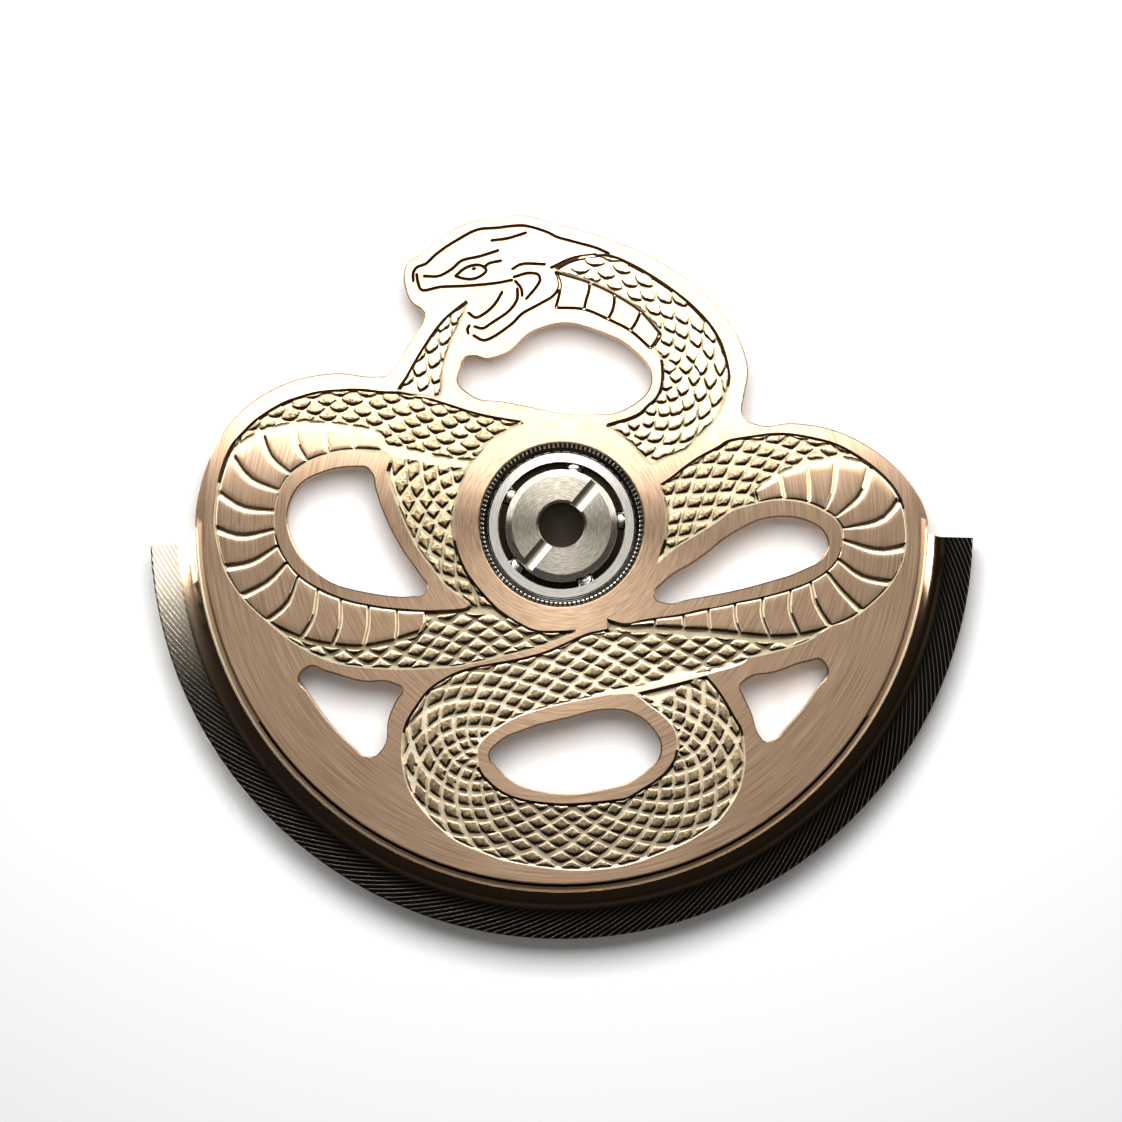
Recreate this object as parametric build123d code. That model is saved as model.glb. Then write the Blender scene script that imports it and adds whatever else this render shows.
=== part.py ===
from build123d import *
import os
from math import cos, pi, radians, sin, sqrt

# Automatic watch rotor, in millimetres, +Z towards the eye that looks at the movement's back.
# The origin is on the rotor's axis, on the face where the bearing sits on the movement.

# rotor_plate: a flat openwork plate whose rim carries the weight
plate_radius = 11.55
plate_bottom = 0.65
plate_thickness = 0.60
lip_width = 0.26
lip_drop = 0.09
lip_edge_drop = 0.05

# weight_segment: half a ring of heavy metal under and round the plate's rim
weight_band = 1.45
weight_shelf = 1.95
weight_depth = 1.40
weight_top_drop = 0.35
weight_cove_drop = 0.10
weight_cove_width = 0.60
weight_edge_chamfer = 0.06

# ball bearing: five balls between a pair of fixed cones and the vee groove of the turning outer race
ball_count = 5
ball_radius = 0.30
ball_pitch_radius = 1.89
ball_height = 0.55
ball_start_angle = 5.5
race_clearance = 0.02
race_contact_angle = 45

# inner_race_lower and inner_race_upper: the cones, which part at the balls' centres
cone_rim_gap = 0.17
cone_wall = 0.3175
cone_upper_lip = 0.03

# bearing_outer_race: vee groove, neck for the gear, shoulder under the plate, knurl in the plate and stepped rim
race_bore_gap = 0.13
race_lower_lip = 0.08
race_upper_lip = 0.05
race_neck_wall = 0.38
race_face_width = 0.25
race_step_width = 0.06
race_step_rise = 0.04
race_step_count = 3
race_rim_width = 0.11
race_shoulder_ledge = 0.25
race_shoulder_thickness = 0.23
knurl_depth = 0.10
knurl_count = 72
knurl_tip_land_share = 0.30
knurl_root_land_share = 0.20

# ball_cage: a crown with a round pocket for each ball, open above
cage_inner_gap = 0.06
cage_outer_gap = 0.03
cage_floor = 0.11
cage_rise = 0.11

# rotor_gear: the ring of teeth under the outer race that drives the winding train
gear_teeth = 48
gear_web = 0.45
gear_tooth_height = 0.20
gear_tip_land_share = 0.22
gear_root_land_share = 0.30

# center_screw: hollow slotted screw that clamps both cones to the movement
screw_head_overhang = 0.04
screw_head_height = 0.32
screw_bevel_width = 0.19
screw_bevel_drop = 0.10
screw_slot_width = 0.44
screw_slot_depth = 0.17
screw_slot_angle = 50
screw_shank_wall = 0.18
screw_bore_chamfer = 0.08
screw_bore_floor = 0.30
screw_tip_chamfer = 0.10
screw_pilot_step = 0.20
screw_pilot_clearance = 0.02

overrun = 1.0
straight_share = 0.0005

plate_top = plate_bottom + plate_thickness
weight_outer_radius = plate_radius + weight_band
weight_inner_radius = plate_radius - weight_shelf
weight_bottom = plate_bottom - weight_depth
weight_top = plate_top - weight_top_drop

# The vee's two faces clear the ball by race_clearance and meet vee_reach away from the ball's centre.
vee_reach = (ball_radius + race_clearance) / cos(radians(race_contact_angle))
outer_race_bore = ball_pitch_radius + race_bore_gap
cone_rim_radius = ball_pitch_radius - cone_rim_gap
outer_vee_opening = vee_reach - race_bore_gap
inner_vee_opening = vee_reach - cone_rim_gap
race_bottom = ball_height - outer_vee_opening - race_lower_lip
race_face_top = ball_height + outer_vee_opening + race_upper_lip
cone_top = ball_height + inner_vee_opening + cone_upper_lip
cage_bottom = ball_height - ball_radius - race_clearance - cage_floor
cage_top = ball_height + cage_rise

knurl_top = race_face_top + race_step_count * race_step_rise
knurl_root_radius = outer_race_bore + race_face_width + (race_step_count - 1) * race_step_width + race_rim_width
knurl_tip_radius = knurl_root_radius + knurl_depth
race_neck_radius = outer_race_bore + race_neck_wall
race_shoulder_radius = knurl_tip_radius + race_shoulder_ledge
shoulder_bottom = plate_bottom - race_shoulder_thickness
gear_root_radius = race_neck_radius + gear_web
gear_tip_radius = gear_root_radius + gear_tooth_height

screw_head_radius = cone_rim_radius + screw_head_overhang
cone_bore = ball_pitch_radius - vee_reach - cone_wall
screw_pilot_radius = cone_bore - screw_pilot_clearance
screw_thread_radius = screw_pilot_radius - screw_pilot_step
screw_bore_radius = screw_thread_radius - screw_shank_wall
screw_top = cone_top + screw_head_height

# Outlines are drawn in shares of the weight's outer circle, where the plate's rim lies at rim_share.
rim_share = 0.8885
drawing_unit = plate_radius / rim_share

# The plate's upper edge runs from the left end of the rim round the snake's back, head and neck.
left_shoulder_shares = [
    (-0.8885, 0.0), (-0.8611, 0.1416), (-0.7950, 0.2590), (-0.6840, 0.3380), (-0.5500, 0.3690),
    (-0.4493, 0.3610), (-0.4250, 0.3635), (-0.4109, 0.3763), (-0.3683, 0.4450), (-0.3368, 0.4986),
]
head_edge_shares = [
    (-0.3368, 0.4986), (-0.3333, 0.5130), (-0.3412, 0.5250), (-0.3610, 0.5382), (-0.3808, 0.5800),
    (-0.3843, 0.6064), (-0.3700, 0.6450), (-0.3430, 0.6600), (-0.2930, 0.7020), (-0.2330, 0.7360),
    (-0.1570, 0.7510), (-0.0918, 0.7560), (-0.0240, 0.7390),
]
neck_edge_shares = [
    (-0.0240, 0.7390), (0.0950, 0.7050), (0.2223, 0.6517), (0.3538, 0.5580), (0.4438, 0.4215),
    (0.4525, 0.3800), (0.4420, 0.3060), (0.4376, 0.2800), (0.4450, 0.2580), (0.4785, 0.2433),
]
right_shoulder_shares = [
    (0.4785, 0.2433), (0.5650, 0.2470), (0.6650, 0.2290), (0.7772, 0.1680), (0.8430, 0.1040),
    (0.8800, 0.0400), (0.8885, 0.0),
]

# Windows are closed curves through these points.
top_window_shares = [
    (-0.2518, 0.3497), (-0.2450, 0.3830), (-0.2333, 0.4072), (-0.2130, 0.4110), (-0.1820, 0.4039),
    (-0.1500, 0.4110), (-0.0590, 0.4760), (0.0100, 0.4915), (0.0846, 0.4736), (0.1626, 0.4359),
    (0.2182, 0.3523), (0.1500, 0.2790), (0.0630, 0.2685), (-0.1328, 0.2985), (-0.2200, 0.3160),
]
left_window_shares = [
    (-0.4988, 0.1404), (-0.5738, 0.1288), (-0.6315, 0.0981), (-0.6604, 0.0462), (-0.6378, -0.0676),
    (-0.5901, -0.1192), (-0.4431, -0.1689), (-0.3636, -0.1737), (-0.3320, -0.1670), (-0.3260, -0.1500),
    (-0.3440, -0.1210), (-0.3914, -0.0517), (-0.4508, 0.0846), (-0.4600, 0.1240), (-0.4738, 0.1385),
]
right_window_shares = [
    (0.2247, -0.1667), (0.2449, -0.1420), (0.3346, -0.0814), (0.4154, -0.0208), (0.4872, 0.0128),
    (0.5420, 0.0190), (0.5904, 0.0106), (0.6353, -0.0186), (0.6460, -0.0480), (0.6308, -0.0814),
    (0.5769, -0.1128), (0.4962, -0.1397), (0.3122, -0.1801), (0.2500, -0.1895), (0.2290, -0.1810),
]
bottom_window_shares = [
    (-0.1738, -0.5560), (-0.1508, -0.5269), (-0.0815, -0.4942), (0.0108, -0.4692), (0.1108, -0.4481),
    (0.1569, -0.4519), (0.2115, -0.4846), (0.2400, -0.5350), (0.1769, -0.6154), (0.0992, -0.6400),
    (0.0108, -0.6508), (-0.1508, -0.5923),
]
left_triangle_shares = [
    (-0.6140, -0.3458), (-0.6338, -0.3700), (-0.6100, -0.4110), (-0.5067, -0.5330), (-0.4740, -0.5590),
    (-0.4510, -0.5600), (-0.4331, -0.5430), (-0.4152, -0.4610), (-0.3993, -0.4253), (-0.3850, -0.3980),
    (-0.4080, -0.3845), (-0.4828, -0.3796), (-0.5623, -0.3577),
]
right_triangle_shares = [
    (0.4315, -0.3920), (0.4480, -0.3745), (0.5169, -0.3571), (0.5962, -0.3310), (0.6250, -0.3270),
    (0.6415, -0.3480), (0.6115, -0.4038), (0.5538, -0.4769), (0.5038, -0.5220), (0.4900, -0.5240),
    (0.4788, -0.5115), (0.4577, -0.4538), (0.4400, -0.4150),
]

# The weight's ends lie just below the axis: the left one slopes, and each has a small corner cut.
left_end_shares = [(-1.0, -0.0500), (-0.9400, -0.0440), (-0.8950, -0.0335), (-0.8600, -0.0150)]
right_end_shares = [(0.8600, -0.0150), (0.8900, -0.0215), (0.9177, -0.0278), (1.0, -0.0298)]


def drawn(shares):
    return [(x * drawing_unit, y * drawing_unit) for x, y in shares]


def heading(before, here, after):
    # The direction at a point of the circle through it and its two neighbours
    arriving = here - before
    leaving = after - here
    return (arriving / arriving.length ** 2 + leaving / leaving.length ** 2).normalized()


def arc_or_line(start, end, direction):
    # A straight run where the arc would bend by less than straight_share of its chord
    chord = end - start
    if abs(direction.cross(chord).Z) < straight_share * chord.length:
        return Line(start, end)
    return TangentArc(start, end, tangent=direction)


def arc_pair(start, end, leaving, arriving):
    # Two arcs that meet smoothly between the points and keep both directions
    chord = end - start
    along = chord.dot(leaving + arriving)
    turn = 2 - 2 * leaving.dot(arriving)
    reach = chord.dot(chord) / (along + sqrt(along ** 2 + turn * chord.dot(chord)))
    first_corner = start + leaving * reach
    second_corner = end - arriving * reach
    middle = (first_corner + second_corner) / 2
    return [
        arc_or_line(start, middle, leaving),
        arc_or_line(middle, end, (second_corner - first_corner).normalized()),
    ]


def smooth_run(points, first_heading, last_heading):
    # An open curve of arcs through the points, with its direction given at both ends
    places = [Vector(x, y) for x, y in points]
    headings = [heading(*places[at - 1:at + 2]) for at in range(1, len(places) - 1)]
    headings = [Vector(*first_heading), *headings, Vector(*last_heading)]
    arcs = []
    for span in zip(places, places[1:], headings, headings[1:]):
        arcs += arc_pair(*span)
    return arcs


def smooth_loop(points):
    # A closed curve of arcs through the points
    places = [Vector(x, y) for x, y in points]
    after = places[1:] + places[:1]
    before = places[-1:] + places[:-1]
    headings = [heading(*neighbours) for neighbours in zip(before, places, after)]
    arcs = []
    for span in zip(places, after, headings, headings[1:] + headings[:1]):
        arcs += arc_pair(*span)
    return arcs


def annular_profile(points):
    # A closed section in radius and height, turned once round the axis
    outline = make_face(Plane.XZ * Polyline(*points, close=True))
    return revolve(outline, Axis.Z)


def toothed_ring(tip_radius, root_radius, count, tip_land_share, root_land_share):
    # One closed outline with straight flanks: each tooth has a tip land and each gap a root land
    points = []
    pitch = 2 * pi / count
    for tooth in range(count):
        centre = tooth * pitch
        for turn, radius in [
            (-0.5 + root_land_share / 2, root_radius),
            (-tip_land_share / 2, tip_radius),
            (tip_land_share / 2, tip_radius),
            (0.5 - root_land_share / 2, root_radius),
        ]:
            angle = centre + turn * pitch
            points.append((radius * cos(angle), radius * sin(angle)))
    return make_face(Polyline(*points, close=True))


def window(shares):
    outline = make_face(Wire(smooth_loop(drawn(shares))))
    return Pos(Z=plate_bottom - overrun) * extrude(outline, plate_thickness + 2 * overrun)


def plate_blank():
    upper_shares = left_shoulder_shares + head_edge_shares[1:] + neck_edge_shares[1:] + right_shoulder_shares[1:]
    upper = smooth_run(drawn(upper_shares), (0, 1), (0, -1))
    lower = ThreePointArc((plate_radius, 0), (0, -plate_radius), (-plate_radius, 0))
    return Pos(Z=plate_bottom) * extrude(make_face(Wire([*upper, lower])), plate_thickness)


def rim_lip():
    # The rim steps down outside lip_width and slopes to its edge
    return annular_profile([
        (plate_radius - lip_width, plate_top + overrun),
        (plate_radius - lip_width, plate_top - lip_drop),
        (plate_radius, plate_top - lip_drop - lip_edge_drop),
        (plate_radius + overrun, plate_top - lip_drop - lip_edge_drop),
        (plate_radius + overrun, plate_top + overrun),
    ])


def rotor_plate():
    plate = plate_blank()
    for shares in [
        top_window_shares,
        left_window_shares,
        right_window_shares,
        bottom_window_shares,
        left_triangle_shares,
        right_triangle_shares,
    ]:
        plate -= window(shares)
    plate -= Pos(Z=plate_bottom) * Cylinder(knurl_tip_radius, 2 * plate_thickness + overrun)
    return plate - rim_lip()


def weight_segment():
    chamfer_top = weight_top - weight_edge_chamfer
    cove_start = (plate_radius + weight_cove_width, weight_top)
    cove_end = (plate_radius, plate_top - weight_cove_drop)
    cove = TangentArc(cove_start, cove_end, tangent=(-1, 0))
    shelf = Polyline(cove_end, (plate_radius, plate_bottom), (weight_inner_radius, plate_bottom))
    body = Polyline(
        (weight_inner_radius, plate_bottom),
        (weight_inner_radius, weight_bottom),
        (weight_outer_radius - weight_edge_chamfer, weight_bottom),
        (weight_outer_radius, weight_bottom + weight_edge_chamfer),
        (weight_outer_radius, chamfer_top),
        (weight_outer_radius - weight_edge_chamfer, weight_top),
        cove_start,
    )
    ring = revolve(make_face(Plane.XZ * (cove + shelf + body)), Axis.Z)
    far = weight_outer_radius + overrun
    edge = drawn(left_end_shares) + drawn(right_end_shares)
    ends = [(-far, edge[0][1])] + edge + [(far, edge[-1][1]), (far, -far), (-far, -far)]
    half_plane = Pos(Z=weight_bottom - overrun) * extrude(
        make_face(Polyline(*ends, close=True)), weight_depth + 2 * overrun
    )
    return ring & half_plane


def bearing_outer_race():
    stairs = []
    for step in range(race_step_count):
        radius = outer_race_bore + race_face_width + step * race_step_width
        height = race_face_top + step * race_step_rise
        stairs += [(radius, height), (radius, height + race_step_rise)]
    core_radius = knurl_root_radius - knurl_depth / 2
    body = annular_profile([
        (outer_race_bore, race_bottom),
        (outer_race_bore, ball_height - outer_vee_opening),
        (ball_pitch_radius + vee_reach, ball_height),
        (outer_race_bore, ball_height + outer_vee_opening),
        (outer_race_bore, race_face_top),
        *stairs,
        (core_radius, knurl_top),
        (core_radius, plate_bottom),
        (race_shoulder_radius, plate_bottom),
        (race_shoulder_radius, shoulder_bottom),
        (race_neck_radius, shoulder_bottom),
        (race_neck_radius, race_bottom),
    ])
    teeth = toothed_ring(knurl_tip_radius, knurl_root_radius, knurl_count, knurl_tip_land_share, knurl_root_land_share)
    knurl = extrude(teeth - Circle(core_radius), knurl_top - race_step_rise - plate_bottom)
    return body + Pos(Z=plate_bottom) * knurl


def rotor_gear():
    teeth = toothed_ring(gear_tip_radius, gear_root_radius, gear_teeth, gear_tip_land_share, gear_root_land_share)
    ring = teeth - Circle(race_neck_radius)
    return Pos(Z=race_bottom) * extrude(ring, shoulder_bottom - race_bottom)


def inner_race_lower():
    return annular_profile([
        (cone_bore, 0),
        (cone_rim_radius, 0),
        (cone_rim_radius, ball_height - inner_vee_opening),
        (ball_pitch_radius - vee_reach, ball_height),
        (cone_bore, ball_height),
    ])


def inner_race_upper():
    return annular_profile([
        (cone_bore, ball_height),
        (ball_pitch_radius - vee_reach, ball_height),
        (cone_rim_radius, ball_height + inner_vee_opening),
        (cone_rim_radius, cone_top),
        (cone_bore, cone_top),
    ])


def ball_places():
    for number in range(ball_count):
        angle = radians(ball_start_angle + number * 360 / ball_count)
        yield Pos(ball_pitch_radius * cos(angle), ball_pitch_radius * sin(angle), ball_height)


def ball_cage():
    ring = Circle(outer_race_bore - cage_outer_gap) - Circle(cone_rim_radius + cage_inner_gap)
    crown = Pos(Z=cage_bottom) * extrude(ring, cage_top - cage_bottom)
    for number in range(ball_count):
        angle = ball_start_angle + number * 360 / ball_count
        pocket = Rot(Z=angle) * Pos(ball_pitch_radius, 0, ball_height) * Rot(Y=90)
        crown -= pocket * Cylinder(ball_radius + race_clearance, 2 * ball_radius + overrun)
    return crown


def center_screw():
    # Turned in one section: bevelled head, bore with a chamfered mouth, pilot in the cones and threaded shank
    bore_floor = weight_bottom + screw_bore_floor
    turned = annular_profile([
        (0, weight_bottom),
        (screw_thread_radius - screw_tip_chamfer, weight_bottom),
        (screw_thread_radius, weight_bottom + screw_tip_chamfer),
        (screw_thread_radius, 0),
        (screw_pilot_radius, 0),
        (screw_pilot_radius, cone_top),
        (screw_head_radius, cone_top),
        (screw_head_radius, screw_top - screw_bevel_drop),
        (screw_head_radius - screw_bevel_width, screw_top),
        (screw_bore_radius + screw_bore_chamfer, screw_top),
        (screw_bore_radius, screw_top - screw_bore_chamfer),
        (screw_bore_radius, bore_floor),
        (0, bore_floor),
    ])
    slot_floor = screw_top - screw_slot_depth
    slot = Box(2 * (screw_head_radius + overrun), screw_slot_width, 2 * screw_slot_depth)
    return turned - Pos(Z=slot_floor + screw_slot_depth) * Rot(Z=screw_slot_angle) * slot


pieces = {
    "rotor_plate": rotor_plate(),
    "weight_segment": weight_segment(),
    "bearing_outer_race": bearing_outer_race(),
    "rotor_gear": rotor_gear(),
    "inner_race_lower": inner_race_lower(),
    "inner_race_upper": inner_race_upper(),
    "ball_cage": ball_cage(),
    "center_screw": center_screw(),
}
for number, place in enumerate(ball_places(), start=1):
    pieces[f"bearing_ball_{number}"] = place * Sphere(ball_radius)

os.makedirs("parts", exist_ok=True)
for name, piece in pieces.items():
    piece.label = name
    export_step(piece, f"parts/{name}.step")

# A ball touches each race at race_contact_angle, so its rolling circle is this far from its own axis.
rolling_radius = ball_radius * cos(radians(race_contact_angle))
cage_ratio = (ball_pitch_radius + rolling_radius) / (2 * ball_pitch_radius)
print("cage ratio", cage_ratio, "ball ratio", cage_ratio * (ball_pitch_radius - rolling_radius) / rolling_radius)
for name, piece in pieces.items():
    print(name, "volume", round(piece.volume, 4), "mm3")
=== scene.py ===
"""Looks of the automatic watch rotor: an engraved rose-gold plate, a black half-ring weight and a ball bearing."""
from math import ceil, cos, hypot, pi, radians, sin

import bmesh
import bpy
import numpy as np
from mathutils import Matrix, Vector
from mathutils.geometry import delaunay_2d_cdt


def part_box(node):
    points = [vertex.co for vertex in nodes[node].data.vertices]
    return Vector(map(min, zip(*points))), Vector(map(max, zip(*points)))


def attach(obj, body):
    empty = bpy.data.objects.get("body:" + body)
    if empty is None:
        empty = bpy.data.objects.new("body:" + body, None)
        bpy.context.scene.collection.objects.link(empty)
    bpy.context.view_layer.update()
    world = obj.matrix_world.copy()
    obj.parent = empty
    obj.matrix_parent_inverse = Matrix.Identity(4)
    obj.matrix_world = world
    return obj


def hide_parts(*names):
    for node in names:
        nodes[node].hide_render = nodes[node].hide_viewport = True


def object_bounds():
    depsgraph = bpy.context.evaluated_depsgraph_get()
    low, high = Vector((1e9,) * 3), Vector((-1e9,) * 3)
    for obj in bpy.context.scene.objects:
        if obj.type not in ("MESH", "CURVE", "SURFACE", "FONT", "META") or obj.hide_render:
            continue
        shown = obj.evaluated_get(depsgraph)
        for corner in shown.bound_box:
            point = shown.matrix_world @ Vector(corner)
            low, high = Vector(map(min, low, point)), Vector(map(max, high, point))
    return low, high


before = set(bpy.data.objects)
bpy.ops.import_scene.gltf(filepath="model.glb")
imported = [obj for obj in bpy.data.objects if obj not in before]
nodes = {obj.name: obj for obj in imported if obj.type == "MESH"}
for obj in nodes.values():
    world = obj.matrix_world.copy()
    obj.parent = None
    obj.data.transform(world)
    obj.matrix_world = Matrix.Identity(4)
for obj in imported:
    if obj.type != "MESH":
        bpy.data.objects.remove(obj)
cad_low, cad_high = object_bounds()

MM = 0.001

# The plate's rim lies at RIM_SHARE of the weight's outer radius, and every engraved line is drawn in thousandths of
# that radius.
RIM_SHARE = 0.8885
plate_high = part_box("rotor_plate")[1]
UNIT = plate_high.x / RIM_SHARE
PLATE_TOP = plate_high.z

# Engraving: flat-bottomed beds with sloped walls, and pads that stand in them almost as high as the plate. A pad's
# wall, brink and shoulder end at shares of its rise, and no wall takes more than WIDEST_WALL of its width.
EDGE_CHAMFER = 0.04 * MM
BED_DEPTH = 0.14 * MM
BED_WALL = 0.12 * MM
PAD_RISE = 0.135 * MM
WALL_RISE, BRINK_RISE, SHOULDER_RISE = 0.82, 0.92, 0.985
PAD_WALL = 0.04 * MM
PAD_WALL_EXTRA = 0.045 * MM
SMALL_PAD_WALL = 0.035 * MM
CRESCENT_WALL = 0.07 * MM
PAD_ROUND = 0.015 * MM
HALF_GAP = 0.012 * MM
PAD_CROWN = 0.004 * MM
PAD_SINK = 0.01 * MM
PAD_CORNERS = 16
NARROWEST_TOP = 0.15
WIDEST_WALL = 0.49
PATCH_STEPS = 7
LINE_STEP = 0.10 * MM

# Meshes: points nearer than SAME_POINT, or in mm than SAME_IN_MM, are one; faces within AT_TOP of the plate's top
# belong to it; narrower gaps than SLIVER close; and faces that face up by NEARLY_LEVEL are shaded smooth
SAME_POINT = 1e-7
SAME_IN_MM = 1e-5
AT_TOP = 1e-6
SLIVER = 2e-6
NEARLY_LEVEL = 0.985

# Distances are measured for so many points at a time
BATCH = 1000

# The plate's rim is stepped down between these radii, in mm; its outer third is blasted where it lies below LIP_ENDS
# in Y, and its edges are cut in three
LIP_RADII = (11.29, 11.55)
LIP_CUTS = 2
LIP_BLASTED_FROM = 11.46 * MM
LIP_LINE_TO = 11.38 * MM
LIP_ENDS = -0.3 * MM
LIP_DROP = 0.08 * MM

# Engraved outlines of the snake, in thousandths
LEFT_CONTOUR = [
    (-399, 325), (-439, 326), (-478, 331), (-516, 331.5), (-593, 325), (-631.5, 315), (-670, 302), (-708.5, 281),
    (-747, 254), (-774, 227), (-801, 196), (-818, 161.5), (-830, 123), (-837, 79), (-843, 0), (-834.5, -48),
    (-815, -115), (-773, -179), (-713, -236.5), (-642, -292), (-562, -332), (-483, -347), (-383, -352),
    (-324, -350),
]
LEFT_LIP = [
    (-324, -350), (-260, -346), (-200, -334), (-150, -322), (-100, -310), (-40, -295), (0, -280), (35, -262),
]
LEFT_HUB_SIDE = [
    (35, -255), (-17, -257), (-61, -255), (-96, -240), (-126, -222), (-153, -203), (-196, -157), (-231, -109),
    (-253, -52), (-259, -9), (-259, 35), (-248.5, 70), (-222, 140), (-196, 172), (-179, 196), (-130, 226),
    (-96, 242),
]
LEFT_UPPER_EDGE = [(-83, 250.6), (-200, 272), (-290, 300), (-340, 315)]
LEFT_FRAME = [
    (-418, 158), (-425, 130), (-415, 90), (-400, 50), (-380, 0), (-355, -50), (-320, -100), (-280, -150),
    (-225, -196), (-300, -207), (-383, -203.5), (-435, -198), (-511, -183), (-574, -159), (-630, -125),
    (-666, -83.5), (-687.5, -36), (-693, 0), (-689, 58), (-670, 104), (-635, 136.5), (-589, 161.5), (-535, 178),
    (-458.5, 176), (-432, 173),
]
RIGHT_CONTOUR = [
    (238, 98), (267, 118), (301, 145), (335, 168), (380, 192), (402, 206), (447, 215), (536.5, 224), (626, 210),
    (671, 196), (716, 172), (752, 147), (783, 120.5), (810, 89), (828, 53), (835, 8), (837, -36.5), (830, -81),
    (815, -117), (792, -153), (761, -185), (729.5, -211.5), (694, -234), (649, -250), (604, -279), (559, -297),
    (514, -310), (450, -325), (400, -335), (350, -347),
]
RIGHT_FRAME_LOWER = [
    (109, -227), (153, -239), (200, -229.5), (290, -216), (335, -205), (380, -198), (424, -187), (469, -178),
    (514, -167), (559, -153), (604, -135), (649, -104), (671, -72), (678, -41), (676, -14), (662, 13), (635, 31),
    (604, 46.5), (559, 57), (514, 58), (469, 49), (411, 31), (380, 8), (335, -21), (281, -54.5), (231, -96),
]
RIGHT_HUB_SIDE = [(240, -61), (248.5, -35), (251, 9), (248.5, 52), (238, 83)]
LOWER_TOP = [(140, -243), (118, -250), (60, -264), (0, -290), (-40, -307), (-100, -323), (-170, -336)]
LOWER_CONTOUR = [
    (-170, -336), (-208.5, -343), (-255, -357), (-293, -377), (-324, -400), (-351, -435), (-370, -465),
    (-381.5, -492), (-387, -561.5), (-374, -627), (-355, -665), (-324, -704), (-289, -738.5), (-247, -769),
    (-197, -790), (-151, -808), (-93, -821), (3, -834), (61, -835), (138.5, -827), (196, -811.5), (254, -788.5),
    (300, -769), (338.5, -746), (377, -719), (404, -685), (427, -646), (438.5, -608), (444, -569), (442, -531),
    (435, -492), (419, -465), (400, -431), (377, -396), (350, -365),
]
LOWER_FRAME = [
    (-199, -565), (-195, -592), (-174, -619), (-139, -646), (-89, -663.5), (-35, -671), (11, -674), (61, -671),
    (118.5, -665), (158, -658), (192, -638.5), (223, -619), (250, -596), (269, -569), (277, -538.5), (277, -515),
    (269, -492), (246, -465), (215, -442), (169, -410), (80, -419), (11, -433), (-35, -444), (-112, -469),
    (-151, -492), (-181.5, -515), (-199, -538.5),
]
RIDGE_LOWER = [(169, -410), (260, -388), (350, -365)]
RIDGE_UPPER = [(350, -356), (260, -378), (180, -394), (80, -414)]
NECK_OUTER = [
    (-20, 626), (25.4, 650), (83.5, 660), (111.5, 661), (139, 653.5), (167, 641), (195, 626), (250, 591),
    (305, 550), (333, 524), (357, 498), (375, 473.5), (390, 446), (400.6, 415), (411, 363), (409, 342), (404, 321),
    (397, 297), (385, 269), (368, 245), (347, 224), (326, 203.5),
]
NECK_HUB_SIDE = [(305, 179), (270, 166), (244, 155), (218, 144), (174, 187), (140, 218)]
NECK_INNER = [
    (99, 243), (129, 252), (160, 261), (188, 274), (208.5, 293.5), (226, 309), (236, 328), (241, 352), (241, 380),
    (236, 408), (219, 435), (195, 458), (167, 479), (132, 495), (111.5, 508), (84, 517), (61, 527), (46, 534),
    (18, 533), (-13, 533),
]
THROAT_START = [(-8, 539), (-3, 553), (6, 581), (5, 607)]
TAIL_OUTLINE = [
    (-220, 558), (-290, 500), (-340, 430), (-380, 360), (-399, 325), (-340, 312), (-295, 310), (-285, 380),
    (-265, 450), (-235, 515),
]

# Lines between belly scales, each from the outer side of the body to its inner side
LEFT_DIVIDERS = [
    [(-435, 223), (-437, 179)],
    [(-503, 236), (-503, 180)],
    [(-572, 246), (-572, 208), (-562, 170)],
    [(-649, 246), (-641, 196), (-614, 152)],
    [(-729, 224), (-705, 165), (-655, 122)],
    [(-802, 170), (-755, 111.5), (-680, 81)],
    [(-833.5, 78), (-774, 42), (-691, 33)],
    [(-839, -10), (-778, -29), (-692, -11.5)],
    [(-817, -105), (-749, -91), (-685, -50)],
    [(-777, -175), (-709, -139), (-662, -89)],
    [(-713, -235), (-662, -191), (-636, -121)],
    [(-630, -276), (-600, -223), (-590, -153)],
    [(-554, -293), (-534.5, -238.5), (-534.5, -177)],
    [(-479, -297), (-467, -242), (-467, -193)],
    [(-401, -281), (-397, -246), (-399, -203)],
    [(-328, -256), (-330, -208)],
]
RIGHT_DIVIDERS = [
    [(465, 83), (478, 52)],
    [(530, 123.5), (541, 59)],
    [(595, 149), (600, 100), (599, 50)],
    [(666, 160), (658, 85), (637.5, 32)],
    [(750, 142), (729.5, 76), (660, 15)],
    [(821.5, 62), (779, 13), (678, -10)],
    [(836, -54.5), (770, -63.5), (677, -36)],
    [(800, -142), (725, -126), (666, -81)],
    [(728, -211.5), (676, -158), (640, -111)],
    [(652, -250), (617, -194), (602, -135)],
    [(577, -269), (552, -207), (554.5, -155)],
    [(505, -273), (485, -216), (487, -173)],
    [(433, -266), (420, -225), (420, -187)],
    [(359, -258), (355, -201)],
    [(296.5, -254), (294, -215.5)],
    [(226, -249), (226, -225.5)],
    [(165, -248), (165, -238)],
]
THROAT_DIVIDERS = [
    [(-14, 616), (-3, 590), (-6, 560), (-14, 529)],
    [(69, 590), (66, 568), (60, 548), (55, 525)],
    [(128, 562), (128, 540), (123, 520), (113, 501)],
    [(192, 520), (187, 506), (178, 488), (167, 473)],
    [(238, 468), (234, 456), (226, 443), (216, 430)],
]

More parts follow.
